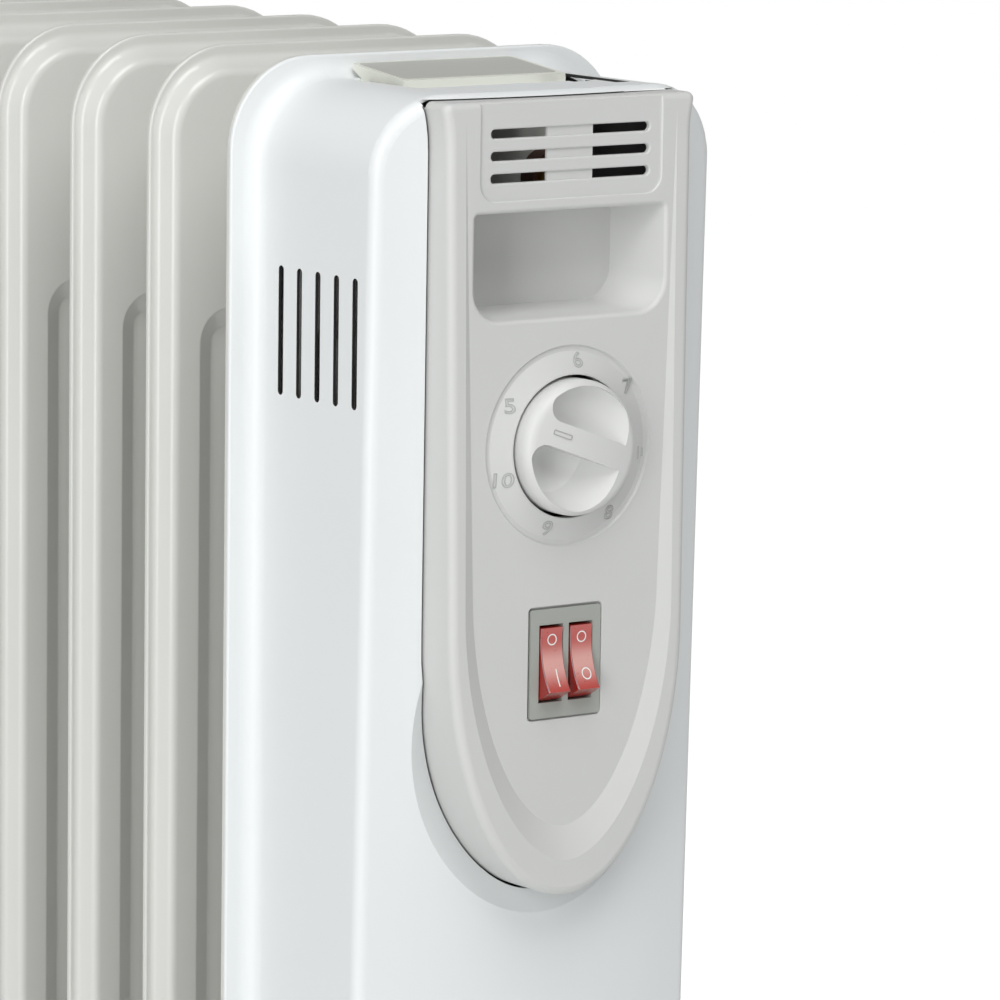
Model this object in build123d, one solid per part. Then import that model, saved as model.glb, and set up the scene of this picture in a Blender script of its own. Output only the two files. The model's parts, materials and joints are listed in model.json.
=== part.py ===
from build123d import *
import math
import os

os.makedirs("parts", exist_ok=True)

# Oil filled radiator heater. Millimetres. X right, Y to the back, Z up, origin on the floor
# under the middle. The control panel faces -Y and the fins are stacked towards +Y.

# Fins
FIN_COUNT = 9
FIN_W = 134.0
FIN_H = 563.0
FIN_R = 26.0
FIN_PITCH = 41.0
FIN_BOTTOM = 72.0
SHEET = 0.9
BULGE = 6.4
RIDGE_R = 3.0
COVE_R = 2.5
LIP_R = 1.2
DISH_FLOOR = -2.6
NECK_R = 23.0
NECK_INSET = 37.5

# Front cover, and where the panel and the dial stand
PANEL_Y = -204.0
FLANGE_Y = PANEL_Y + 70.0
BOX_W = 116.0
BOX_TOP = FIN_BOTTOM + FIN_H - 6.5
DIAL_Z = BOX_TOP - 98.5
BOX_BOTTOM = FIN_BOTTOM + 7.5
BOX_R = 22.0
BOX_EDGE_R = 3.8
SEAT_DEPTH = 1.7
BOW_R = 239.0
LEAN = 0.0205

# Control panel
PANEL_HALF = 40.3
PANEL_SPLAY = 1.6
FLOOR_HALF = PANEL_HALF - 8.3
FLOOR_SPLAY = 5.1
FIELD_HALF = PANEL_HALF - 9.3
PANEL_EDGE_R = 2.4
BROW_R = 2.0
CORNER_FLARE = 1.6
PANEL_LOW = 127.0
PANEL_GAP = 0.75
WALL = 2.2
BAND_Y = PANEL_Y - 1.8
SKIRT_Y = PANEL_Y + 17.0
PANEL_TOP = BOX_TOP - 1.7
POCKET_DEPTH = 19.0

# Dial, knob and thermostat
RING_R = 27.8
DIAL_RISE = 1.7
KNOB_HOLE_R = 20.1
KNOB_R = 19.1
KNOB_DOME = 2.2
KNOB_FRONT = PANEL_Y - 9.0
SCOOP_R = 17.6
SCOOP_DEPTH = 6.5
BAR_HALF = 3.6
SHAFT_R = 3.0
SHAFT_TIP = PANEL_Y - 0.4
PLATE_Y = PANEL_Y + 22.5

# Twin rocker switch
SWITCH_Z = DIAL_Z - 60.9
BEZEL_W = 24.0
BEZEL_H = 30.8
WINDOW_W = 8.2
WINDOW_H = 22.0
ROCKER_X = 5.1
ROCKER_TILT = 13.0
PIVOT_Y = PANEL_Y + 3.0

# Feet
BRACKET_W = 250.0
BRACKET_D = 46.0
BRACKET_T = 1.6
CASTOR_X = 108.0
WHEEL_R = 21.0
TRAIL = 15.0

FIN_Z = FIN_BOTTOM + FIN_H / 2
NECK_RISE = FIN_H / 2 - NECK_INSET
NECK_LOW = FIN_Z - NECK_RISE
NECK_HIGH = FIN_Z + NECK_RISE
FIN_YS = [FLANGE_Y + SHEET + k * FIN_PITCH for k in range(FIN_COUNT)]
BRACKET_YS = [(FIN_YS[0] + FIN_YS[1]) / 2, (FIN_YS[-2] + FIN_YS[-1]) / 2]


def face(y):
    """Sketch plane across the heater at depth y: sketch axes X and Z."""
    return Plane.XZ.offset(-y)


def slab(sketch, y0, y1):
    """A flat sketch standing at y0, thickened to y1."""
    return extrude(face(y0) * sketch, amount=y0 - y1)


def blend(s0, y0, s1, y1):
    """Straight-sided solid between a sketch at y0 and a sketch at y1."""
    return loft([face(y0) * s0, face(y1) * s1], ruled=True)


def rod_y(x, z, r, y0, y1):
    return slab(Pos(x, z) * Circle(r), y0, y1)


def rod_x(y, z, r, x0, x1):
    return extrude(Plane.YZ.offset(x0) * Pos(y, z) * Circle(r), amount=x1 - x0)


def rod_z(x, y, r, z0, z1):
    return extrude(Plane.XY.offset(z0) * Pos(x, y) * Circle(r), amount=z1 - z0)


def block(x0, x1, y0, y1, z0, z1):
    return Pos((x0 + x1) / 2, (y0 + y1) / 2, (z0 + z1) / 2) * Box(x1 - x0, y1 - y0, z1 - z0)


def save(node, shape):
    solids = shape.solids() if hasattr(shape, "solids") else list(shape)
    body = solids[0] if len(solids) == 1 else Compound(children=list(solids))
    body.label = node
    export_step(body, f"parts/{node}.step")


# ---------------------------------------------------------------- fins

def edges_at(solid, y, half_x, half_z):
    """Edges that lie at depth y inside a centred rectangle."""
    found = []
    for e in solid.edges():
        b = e.bounding_box()
        if abs(b.min.Y - y) < 0.01 and abs(b.max.Y - y) < 0.01 and b.max.X < half_x and b.max.Z < half_z:
            found.append(e)
    return found


def fin_half(mx, mz, dish_w, closed, port):
    """Front half of one fin from its middle plane to -Y, and the oil space inside it.

    mx and mz are how much narrower and lower the bulge is than the rim.
    """
    w, h, r = FIN_W - mx, FIN_H - mz, max(FIN_R - max(mx, mz) / 2, 18)
    wall = 2 * SHEET
    skin = slab(RectangleRounded(FIN_W, FIN_H, FIN_R), 0, -SHEET)
    skin = fillet(skin.faces().sort_by(Axis.Y)[0].edges(), 0.75 * SHEET)
    skin += blend(RectangleRounded(w, h, r), -SHEET,
                  RectangleRounded(w - 6, h - 6, r - 3), -BULGE)
    dish_h = FIN_H - 4 * NECK_INSET
    dish = blend(RectangleRounded(dish_w, dish_h, 10), -BULGE,
                 RectangleRounded(dish_w - 12, dish_h - 12, 4), DISH_FLOOR)
    inner_dish = blend(RectangleRounded(dish_w + 3.4, dish_h + 3.4, 11.7), -BULGE,
                       RectangleRounded(dish_w - 11.4, dish_h - 11.4, 4.3), DISH_FLOOR + SHEET)
    oil = blend(RectangleRounded(w - wall, h - wall, r - SHEET), 0,
                RectangleRounded(w - 6 - wall, h - 6 - wall, r - 3 - SHEET), -BULGE + SHEET)
    # Round the ridge and the cove at its foot, then the lip and the foot of the sunken middle
    skin = fillet(skin.faces().sort_by(Axis.Y)[0].edges(), RIDGE_R)
    oil = fillet(oil.faces().sort_by(Axis.Y)[0].edges(), RIDGE_R - 1.4)
    foot = [e for e in edges_at(skin, -SHEET, w / 2 + 0.1, h / 2 + 0.1)]
    skin = fillet(foot, COVE_R)
    skin -= dish
    oil -= inner_dish
    skin = fillet(edges_at(skin, -BULGE, dish_w / 2 + 0.1, dish_h / 2 + 0.1), LIP_R)
    skin = fillet(edges_at(skin, DISH_FLOOR, dish_w / 2, dish_h / 2), LIP_R + 0.3)
    flare = 2.0 if closed else 4.0
    for z in (-NECK_RISE, NECK_RISE):
        skin += blend(Pos(0, z) * Circle(NECK_R + flare), -BULGE, Pos(0, z) * Circle(NECK_R), -12)
        oil += blend(Pos(0, z) * Circle(NECK_R + flare - SHEET), -BULGE + SHEET,
                     Pos(0, z) * Circle(NECK_R - SHEET), -12 + SHEET)
        if not closed:
            skin += rod_y(0, z, NECK_R, -12, -FIN_PITCH / 2)
            oil += rod_y(0, z, NECK_R - SHEET, -12 + SHEET, -FIN_PITCH / 2)
    if port:
        oil += rod_y(0, -NECK_RISE, 17, -12 + SHEET, -12)
    return skin, oil


def fin(y, place):
    """One fin: two pressed sheets welded at the rim, open or closed at its necks."""
    if place == "first":
        skin_f, oil_f = fin_half(26, 25, FIN_W - 48, True, True)
    else:
        skin_f, oil_f = fin_half(5, 8, FIN_W - 28, False, False)
    # The back of the first fin leaves a wider rim for the spring clips
    m = 11 if place == "first" else 5
    skin_b, oil_b = fin_half(m, max(m, 8), FIN_W - 28, place == "last", False)
    skin = skin_f + mirror(skin_b, Plane.XZ)
    oil = oil_f + mirror(oil_b, Plane.XZ)
    return Pos(0, y, FIN_Z) * (skin - oil)


middle = fin(0, "middle")
for k, y in enumerate(FIN_YS):
    if k == 0:
        solid = fin(y, "first")
    elif k == FIN_COUNT - 1:
        solid = fin(y, "last") - rod_y(0, NECK_HIGH, 4.1, y + 8, y + 14)
    else:
        solid = Pos(0, y, 0) * middle
    save(f"fin_{k + 1:02d}", solid)

# Filling plug crimped into the back of the last fin
back = FIN_YS[-1] + 12
plug = rod_y(0, NECK_HIGH, 4.0, back - 3, back)
plug += rod_y(0, NECK_HIGH, 8.0, back, back + 2.5)
plug += slab(Pos(0, NECK_HIGH) * RegularPolygon(5.5, 6), back + 2.5, -KNOB_FRONT)
save("fill_plug", plug)

# ---------------------------------------------------------------- heating element

front = FIN_YS[0] - 12
flange = rod_y(0, NECK_LOW, 20.5, front - 4, front)
flange += rod_y(0, NECK_LOW, 16.5, front, front + 5)
element = []
for x, reach in ((-8.5, 300.0), (8.5, 260.0)):
    for dz in (-6.5, 6.5):
        flange -= rod_y(x, NECK_LOW + dz, 4.0, front - 5, front + 6)
    run = reach - 12
    path = Polyline((x, front - 4, NECK_LOW - 6.5), (x, front + run, NECK_LOW - 6.5))
    path += ThreePointArc((x, front + run, NECK_LOW - 6.5), (x, front + run + 6.5, NECK_LOW),
                          (x, front + run, NECK_LOW + 6.5))
    path += Polyline((x, front + run, NECK_LOW + 6.5), (x, front - 4, NECK_LOW + 6.5))
    element.append(sweep(Plane((x, front - 4, NECK_LOW - 6.5), z_dir=(0, 1, 0)) * Circle(4.0), path))
pins = []
for x in (-8.5, 8.5):
    for dz in (-6.5, 6.5):
        pin = rod_y(x, NECK_LOW + dz, 1.6, front - 12, front - 4)
        pin += block(x - 3.15, x + 3.15, front - 20, front - 12, NECK_LOW + dz - 0.4, NECK_LOW + dz + 0.4)
        pins.append(pin)
save("element_flange", flange)
save("heating_element", Compound(children=[s for e in element for s in e.solids()]))
save("element_terminals", Compound(children=[s for p in pins for s in p.solids()]))

# ---------------------------------------------------------------- front cover

def u_outline(half, top, start, low, power, splay=0.0, flare=0.0, steps=10):
    """Outline with near-straight sides and a tapering round foot, heights from the dial centre.

    The sides are splay wider at the top, and flare turns the last few millimetres outwards.
    """
    depth = low + start
    run = top - start
    pts = []
    for i in range(1, 2 * steps):
        a = math.pi / 2 * i / steps
        c, s = abs(math.cos(a)), math.sin(a)
        sign = 1 if i < steps else -1
        pts.append((sign * half * c ** (2 / power), start - depth * s ** (2 / power)))
    pts = [(half, start)] + pts + [(-half, start)]
    outline = Spline(*pts, tangents=[(-splay / run, -1), (-splay / run, 1)])
    wide = half + splay
    if flare:
        turn = top - 13.0
        kink = half + splay * (turn - start) / run
        outline += Polyline((-half, start), (-kink, turn))
        outline += TangentArc((-kink, turn), (-wide - flare, top), tangent=(-splay / run, 1))
        outline += Polyline((-wide - flare, top), (wide + flare, top))
        outline += TangentArc((kink, turn), (wide + flare, top), tangent=(splay / run, 1))
        outline += Polyline((kink, turn), (half, start))
    else:
        outline += Polyline((-half, start), (-wide, top), (wide, top), (half, start))
    return Pos(0, DIAL_Z) * make_face(outline)


def box_form(inset):
    """Cover box: bowed front with a round edge, leaning back a little towards the floor."""
    tilt = math.atan(LEAN)
    reach = BOX_W / 2 + 12
    sag = BOW_R - math.sqrt(BOW_R ** 2 - reach ** 2)
    plan_at = Plane(origin=(0, PANEL_Y + 6.9 + inset, DIAL_Z), x_dir=(1, 0, 0),
                    z_dir=(0, -math.sin(tilt), math.cos(tilt)))
    plan = make_face(ThreePointArc((-reach, sag), (0, 0), (reach, sag))
                     + Polyline((reach, sag), (reach, 110), (-reach, 110), (-reach, sag)))
    body = extrude(plan_at * plan, amount=150) + extrude(plan_at * plan, amount=BOX_BOTTOM - DIAL_Z - 30)
    profile = RectangleRounded(BOX_W - 2 * inset, BOX_TOP - BOX_BOTTOM - 2 * inset, BOX_R - inset)
    body &= slab(Pos(0, (BOX_TOP + BOX_BOTTOM) / 2) * profile, PANEL_Y - 10, FLANGE_Y)
    rim = [e for e in body.edges() if e.center().Y < PANEL_Y + 30 and e.bounding_box().max.Y < PANEL_Y + 32]
    return fillet(rim, BOX_EDGE_R - inset)


def foot_dish(deeper):
    """Shallow oval hollow of the cover round the foot of the panel."""
    at = Pos(0, DIAL_Z - 85)
    return blend(at * Ellipse(53.2, 52.7), PANEL_Y + 8 + deeper,
                 at * Ellipse(33.4, 32.9), PANEL_Y + 17 + deeper) \
        + slab(at * Ellipse(53.2, 52.7), PANEL_Y - 6, PANEL_Y + 8 + deeper)


def label_seat(extra):
    """Shallow pressing in the top of the cover for the label plate."""
    low = BOX_TOP - SEAT_DEPTH - extra
    foot = Pos(-0.5, PANEL_Y + 46.3) * Rectangle(61 + 2 * extra, 32.8)
    mouth = Pos(-0.5, PANEL_Y + 45.8) * Rectangle(64 + 2 * extra, 34.4)
    return loft([Plane.XY.offset(low) * foot, Plane.XY.offset(BOX_TOP + 0.2) * mouth], ruled=True)


outer = box_form(0)
inner = box_form(SHEET)
outer -= foot_dish(0)
inner -= foot_dish(1.1 * SHEET)
outer -= label_seat(0)
inner -= label_seat(SHEET)
flange = slab(Pos(0, FIN_Z) * RectangleRounded(FIN_W, FIN_H, FIN_R), FLANGE_Y - SHEET, FLANGE_Y)
flange = fillet(flange.faces().sort_by(Axis.Y)[0].edges(), 0.75 * SHEET)
cover = outer + flange
foot_edges = [e for e in cover.edges()
              if abs(e.center().Y - (FLANGE_Y - SHEET)) < 0.01
              and abs(e.center().X) < BOX_W / 2 + 1
              and BOX_BOTTOM - 1 < e.center().Z < BOX_TOP + 1]
cover = fillet(foot_edges, 5.0)
cover -= inner
# Opening for the panel: open through the front, and behind the front only up to the top sheet
top = PANEL_TOP - DIAL_Z
opening = u_outline(PANEL_HALF + PANEL_GAP, top + 0.4, -50.8, PANEL_LOW + PANEL_GAP, 2.0, PANEL_SPLAY, CORNER_FLARE)
cover -= slab(opening, PANEL_Y - 10, PANEL_Y + 11.5)
opening_low = u_outline(PANEL_HALF + PANEL_GAP, top - 1.3, -50.8, PANEL_LOW + PANEL_GAP, 2.0, PANEL_SPLAY, CORNER_FLARE)
cover -= slab(opening_low, PANEL_Y - 10, PANEL_Y + 20)
# Side air slots, both walls
for k in range(5):
    y = PANEL_Y + 57.1 - 9.05 * k
    slot = Pos(y, DIAL_Z + 29.7) * Rot(0, 0, 90) * SlotOverall(36.4, 2.5)
    cover -= extrude(Plane.YZ.offset(-BOX_W / 2 - 2) * slot, amount=BOX_W + 4)
# Top air slots
for x0, x1, y0, y1 in ((19.5, 25.5, 26.0, 40.8), (28.9, 33.8, 19.0, 60.0), (36.6, 50.4, 14.5, 60.0)):
    cover -= block(x0, x1, PANEL_Y + y0, PANEL_Y + y1, BOX_TOP - 8, BOX_TOP + 2)
for y0, y1 in ((44.0, 51.0), (52.5, 59.0)):
    cover -= block(-30.6, -27.4, PANEL_Y + y0, PANEL_Y + y1, BOX_TOP - 4, BOX_TOP + 2)
# Bottom air slots and cord hole
for x in (-40.0, -31.0, 31.0, 40.0):
    cover -= block(x - 2, x + 2, PANEL_Y + 30, PANEL_Y + 58, BOX_BOTTOM - 2, BOX_BOTTOM + 3)
cover -= rod_z(0, PANEL_Y + 45, 7.0, BOX_BOTTOM - 2, BOX_BOTTOM + 2)
# Holes for the screws that hold the terminal block and the tip-over switch
SCREW_SPOTS = [(1, 144.0), (1, 158.0), (-1, 114.0), (-1, 130.0)]
for side, z in SCREW_SPOTS:
    cover -= rod_x(PANEL_Y + 43, z, 1.7, side * (BOX_W / 2 - 3), side * (BOX_W / 2 + 1))
save("front_cover", cover)

screws = []
for side, z in SCREW_SPOTS:
    screw = rod_x(PANEL_Y + 43, z, 1.5, side * (BOX_W / 2 - 6), side * BOX_W / 2)
    screw += rod_x(PANEL_Y + 43, z, 2.9, side * BOX_W / 2, side * (BOX_W / 2 + 1.9))
    screw -= block(side * BOX_W / 2 + side * 1.5 - 0.5, side * BOX_W / 2 + side * 1.5 + 0.5,
                   PANEL_Y + 42.6, PANEL_Y + 43.4, z - 2, z + 2)
    screws.append(screw)
save("block_screws", Compound(children=[s for p in screws for s in p.solids()]))

# Spring clips that pinch the cover's flange and the rim of the first fin together
clips = []
edge = FIN_W / 2
back = FIN_YS[0] + SHEET
for side in (-1, 1):
    for z in (FIN_BOTTOM + 70, FIN_BOTTOM + 270):
        x0, x1 = sorted((side * (edge - 3.8), side * (edge + 0.8)))
        clip = block(x0, x1, FLANGE_Y - SHEET - 0.8, back + 0.8, z - 9, z + 9)
        x0, x1 = sorted((side * (edge - 4.8), side * edge))
        clip -= block(x0, x1, FLANGE_Y - SHEET, back, z - 10, z + 10)
        clips.append(clip)
save("cover_clips", Compound(children=[s for p in clips for s in p.solids()]))

# Cord inlet bush, no cord fitted
y = PANEL_Y + 45
bush = rod_z(0, y, 6.7, BOX_BOTTOM - 2, BOX_BOTTOM + SHEET + 2)
bush += rod_z(0, y, 9.5, BOX_BOTTOM - 2, BOX_BOTTOM)
bush += rod_z(0, y, 9.5, BOX_BOTTOM + SHEET, BOX_BOTTOM + SHEET + 2)
bush -= rod_z(0, y, 3.5, BOX_BOTTOM - 3, BOX_BOTTOM + 5)
save("cord_bush", bush)

# Label plate on top, a bare wedge lying against the flange
y = PANEL_Y
wedge = Polyline((y + 41.4, BOX_TOP - SEAT_DEPTH), (y + 41.6, BOX_TOP + 0.9), (y + 67.8, BOX_TOP + 3.9),
                 (y + 67.8, BOX_TOP + 2.8), (y + 62.5, BOX_TOP + 0.1), (y + 62.5, BOX_TOP - SEAT_DEPTH),
                 close=True)
plate = extrude(Plane.YZ.offset(-28) * make_face(wedge), amount=56)
plate = chamfer(plate.faces().sort_by(Axis.Z)[-1].edges().filter_by(Axis.X, reverse=True), 1.4)
save("top_label_plate", plate)

# ---------------------------------------------------------------- control panel

panel = slab(u_outline(PANEL_HALF, top, -50.8, PANEL_LOW, 2.0, PANEL_SPLAY, CORNER_FLARE), PANEL_Y - 3.4, SKIRT_Y)
foot_z = DIAL_Z - PANEL_LOW
slope = Polyline((PANEL_Y - 10, PANEL_TOP + 10), (PANEL_Y + 0.2, PANEL_TOP + 10),
                 (PANEL_Y - 3.0, foot_z), (PANEL_Y - 3.1, foot_z - 5), (PANEL_Y - 10, foot_z - 5), close=True)
panel -= extrude(Plane.YZ.offset(-60) * make_face(slope), amount=120)
rim = [e for e in panel.faces().sort_by(Axis.Y)[0].edges() if e.center().Z < PANEL_TOP - 0.5]
panel = fillet(rim, PANEL_EDGE_R)
brow = [e for e in panel.edges() if e.bounding_box().min.Z > PANEL_TOP - 0.01 and e.center().Y < PANEL_Y + 4]
panel = fillet(brow, BROW_R)
# Sunken middle: its bevel grows from nothing at the top to its full width at the foot
floor_shape = u_outline(FLOOR_HALF, 120, -38.3, 107.5, 1.9, FLOOR_SPLAY)
panel -= blend(floor_shape, PANEL_Y,
               u_outline(FLOOR_HALF + 7.2, 120, -43.0, 119.0, 1.85, FLOOR_SPLAY), PANEL_Y - 3.5)
# Hollow back
panel -= slab(u_outline(PANEL_HALF - WALL, top - WALL, -50.8, PANEL_LOW - WALL, 2.0, PANEL_SPLAY),
              PANEL_Y + WALL, SKIRT_Y)
panel -= block(-60, 60, PANEL_Y + 9.8, SKIRT_Y + 1, PANEL_TOP - 1.8, BOX_TOP + 5)


def pocket_shape(half, low, high, round_low, round_high):
    sketch = make_face(Polyline((-half, low), (half, low), (half, high), (-half, high), close=True))
    sketch = fillet(sketch.vertices().group_by(Axis.Y)[0], round_low)
    sketch = fillet(sketch.vertices().group_by(Axis.Y)[-1], round_high)
    return Pos(0, DIAL_Z) * sketch


def soften(solid, y, x, z0, z1, radius):
    """Round the front edges of the cuts whose rims lie at depth y, inside x and between two heights."""
    rims = []
    for e in solid.edges():
        b = e.bounding_box()
        if abs(b.min.Y - y) < 0.01 and abs(b.max.Y - y) < 0.01 and b.max.X < x and b.min.X > -x \
                and b.min.Z > DIAL_Z + z0 and b.max.Z < DIAL_Z + z1:
            rims.append(e)
    return fillet(rims, radius)


# Hand grip pocket
pocket_back = PANEL_Y + POCKET_DEPTH
pocket = PANEL_HALF - 7.4
mouth = pocket_shape(pocket, 36.0, 66.0, 9.0, 1.5)
panel += blend(pocket_shape(pocket + 1.8, 34.0, 69.5, 10.8, 3.0), PANEL_Y + 1,
               pocket_shape(pocket - 3.2, 36.0, 66.5, 10.8, 3.0), pocket_back + 2)
panel -= blend(mouth, PANEL_Y, pocket_shape(pocket - 5.2, 38.0, 64.5, 9.0, 1.5), pocket_back)
panel -= slab(mouth, PANEL_Y - 2, PANEL_Y)
panel = soften(panel, PANEL_Y, pocket + 0.1, 35.9, 66.1, 1.2)
# Air louvres in a shallow field
field = Pos(0, DIAL_Z + 69.3 + 20) * RectangleRounded(2 * FIELD_HALF, 40, 5)
panel -= slab(field, PANEL_Y - 2, PANEL_Y + 0.6)
panel = soften(panel, PANEL_Y, FIELD_HALF + 0.1, 69.2, 92.0, 0.45)
for k in range(3):
    z = DIAL_Z + 87.8 - 6.17 * k
    row = Pos(0, z) * SlotOverall(2 * FIELD_HALF - 7.6, 2.6)
    panel -= slab(row, PANEL_Y, PANEL_Y + 1.3)
    panel -= slab(row - Pos(0, z) * Rectangle(15.6, 4), PANEL_Y, PANEL_Y + 3)
panel = soften(panel, PANEL_Y + 0.6, FIELD_HALF - 3.0, 73.0, 90.0, 0.5)
# Dial ring and knob hole
panel -= blend(Pos(0, DIAL_Z) * Circle(RING_R + 0.5), PANEL_Y, Pos(0, DIAL_Z) * Circle(RING_R), PANEL_Y + 0.6)
panel += blend(Pos(0, DIAL_Z) * Circle(RING_R - 0.5), PANEL_Y + 0.9,
               Pos(0, DIAL_Z) * Circle(KNOB_HOLE_R + 0.4), PANEL_Y - DIAL_RISE)
panel -= rod_y(0, DIAL_Z, KNOB_HOLE_R, PANEL_Y - 3, PANEL_Y + 3)
collar = [e for e in panel.edges() if abs(e.bounding_box().min.Y - PANEL_Y + DIAL_RISE) < 0.01
          and abs(e.bounding_box().max.X - KNOB_HOLE_R - 0.4) < 0.05]
panel = fillet(collar, 0.35)
# Seat and hole for the switch
panel -= slab(Pos(0, SWITCH_Z) * RectangleRounded(BEZEL_W + 1.1, BEZEL_H + 1.1, 1.2), PANEL_Y - 1, PANEL_Y + 1.2)
panel = soften(panel, PANEL_Y, BEZEL_W / 2 + 1, SWITCH_Z - DIAL_Z - 17, SWITCH_Z - DIAL_Z + 17, 0.45)
panel -= slab(Pos(0, SWITCH_Z) * Rectangle(21.8, 28.4), PANEL_Y, PANEL_Y + 3)
# Posts for the metal plate behind the dial
for x in (-31.0, 31.0):
    for z in (DIAL_Z - 36, DIAL_Z + 27):
        panel += rod_y(x, z, 3.2, PANEL_Y + 1, PLATE_Y)
        panel -= rod_y(x, z, 1.3, PLATE_Y - 10, PLATE_Y)
save("control_panel", panel)

# ---------------------------------------------------------------- plate and thermostat

plate = block(-36, 36, PLATE_Y, PLATE_Y + 1.2, DIAL_Z - 41, DIAL_Z + 31)
plate -= rod_y(0, DIAL_Z, 5.2, PLATE_Y - 1, PLATE_Y + 2)
screws = []
for x in (-31.0, 31.0):
    for z in (DIAL_Z - 36, DIAL_Z + 27):
        plate -= rod_y(x, z, 1.6, PLATE_Y - 1, PLATE_Y + 2)
        screw = rod_y(x, z, 1.25, PLATE_Y - 8, PLATE_Y + 1.2)
        screw += rod_y(x, z, 2.8, PLATE_Y + 1.2, PLATE_Y + 3)
        screws.append(screw)
save("control_plate", plate)
save("plate_screws", Compound(children=[s for p in screws for s in p.solids()]))

thermostat = block(-20, 20, PLATE_Y + 1.2, PLATE_Y + 17, DIAL_Z - 14, DIAL_Z + 14)
thermostat += rod_y(0, DIAL_Z, 5.0, PLATE_Y - 7, PLATE_Y + 1.2)
thermostat -= rod_y(0, DIAL_Z, SHAFT_R + 0.05, PLATE_Y - 8, PLATE_Y + 8)
save("thermostat_body", thermostat)

nut = slab(Pos(0, DIAL_Z) * RegularPolygon(7.5, 6), PLATE_Y - 3, PLATE_Y)
nut -= rod_y(0, DIAL_Z, 5.1, PLATE_Y - 4, PLATE_Y + 1)
save("thermostat_nut", nut)

tabs = [block(x - 3.15, x + 3.15, PLATE_Y + 17, PLATE_Y + 25, DIAL_Z + z - 0.4, DIAL_Z + z + 0.4)
        for x, z in ((-12.0, 6.0), (12.0, -6.0))]
save("thermostat_terminals", Compound(children=[s for p in tabs for s in p.solids()]))

save("thermostat_shaft", rod_y(0, DIAL_Z, SHAFT_R, SHAFT_TIP, PLATE_Y + 7.5))

dome_r = (KNOB_R ** 2 + KNOB_DOME ** 2) / (2 * KNOB_DOME)
knob = rod_y(0, DIAL_Z, KNOB_R, KNOB_FRONT - 1, PANEL_Y + 5)
knob &= Pos(0, KNOB_FRONT + dome_r, DIAL_Z) * Sphere(dome_r)
brow = [e for e in knob.edges() if abs(e.center().Y - KNOB_FRONT - KNOB_DOME) < 0.1]
knob = fillet(brow, 3.4)
knob -= rod_y(0, DIAL_Z, KNOB_R - 2.2, SHAFT_TIP + 0.8, PANEL_Y + 6)
knob += rod_y(0, DIAL_Z, 6.0, SHAFT_TIP, PANEL_Y + 11)
knob -= rod_y(0, DIAL_Z, SHAFT_R + 0.1, SHAFT_TIP, PANEL_Y + 12)
# Two hollows with a grip bar between them, the bar a little above the middle
for side in (-1, 1):
    edge = 1.2 + side * BAR_HALF
    half_disc = Circle(SCOOP_R) & Pos(0, edge + side * 20) * Rectangle(60, 40)
    ends = half_disc.vertices().sort_by(Axis.X)
    half_disc = fillet(ends[:1], 3.8)
    half_disc = fillet(half_disc.vertices().sort_by(Axis.X)[-1:], 1.2)
    prism = slab(half_disc, KNOB_FRONT - 1, SHAFT_TIP)
    bowl = Pos(-1.5, KNOB_FRONT + SCOOP_DEPTH - 24, edge + side * 2.4) * Sphere(24)
    if side < 0:
        bowl += Pos(-5, KNOB_FRONT + SCOOP_DEPTH + 1.9 - 15, edge - 1.5) * Sphere(15)
    knob -= Pos(0, 0, DIAL_Z) * Rot(0, 20, 0) * (prism & bowl)
save("thermostat_knob", knob)

# ---------------------------------------------------------------- rocker switch

housing = slab(Pos(0, SWITCH_Z) * RectangleRounded(BEZEL_W, BEZEL_H, 0.8), PANEL_Y - 0.3, PANEL_Y + 1.2)
housing += slab(Pos(0, SWITCH_Z) * Rectangle(21.4, 28.0), PANEL_Y + 1.2, PANEL_Y + 18)
for side in (-1, 1):
    housing -= slab(Pos(side * ROCKER_X, SWITCH_Z) * Rectangle(WINDOW_W, WINDOW_H), PANEL_Y - 1, PANEL_Y + 15)
housing -= rod_x(PIVOT_Y, SWITCH_Z, 1.25, -10.4, 10.4)
save("switch_housing", housing)

tabs = [block(x - 2.4, x + 2.4, PANEL_Y + 18, PANEL_Y + 26, SWITCH_Z + z - 0.4, SWITCH_Z + z + 0.4)
        for x in (-ROCKER_X, ROCKER_X) for z in (-8.0, 0.0, 8.0)]
save("switch_terminals", Compound(children=[s for p in tabs for s in p.solids()]))

bow = ThreePointArc((-6.2, -9.0), (-4.5, 0), (-6.2, 9.0))
rest = Polyline((-6.2, 9.0), (0.3, 10.8), (2.8, 10.2), (5.2, 5), (5.2, -5), (2.8, -10.2),
                (0.3, -10.8), (-6.2, -9.0))
key = extrude(Plane.YZ.offset(-3.8) * make_face(bow + rest), amount=7.6)
rims = [e for e in key.edges() if abs(abs(e.center().X) - 3.8) < 0.01 and e.geom_type == GeomType.CIRCLE]
key = fillet(rims, 0.5)
key += rod_x(0, 0, 1.2, -4.95, 4.95)
key = Rot(-ROCKER_TILT, 0, 0) * key
save("rocker_left", Pos(-ROCKER_X, PIVOT_Y, SWITCH_Z) * key)
save("rocker_right", Pos(ROCKER_X, PIVOT_Y, SWITCH_Z) * key)

# ---------------------------------------------------------------- parts behind the cover

wall_x = BOX_W / 2 - SHEET
terminal = block(wall_x - 11, wall_x, PANEL_Y + 34, PANEL_Y + 52, 130, 172)
for z in (137.0, 151.0, 165.0):
    terminal -= rod_y(wall_x - 6, z, 2.4, PANEL_Y + 33, PANEL_Y + 53)
for side, z in SCREW_SPOTS[:2]:
    terminal -= rod_x(PANEL_Y + 43, z, 1.6, wall_x - 6, wall_x + 1)
save("terminal_block", terminal)

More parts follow.
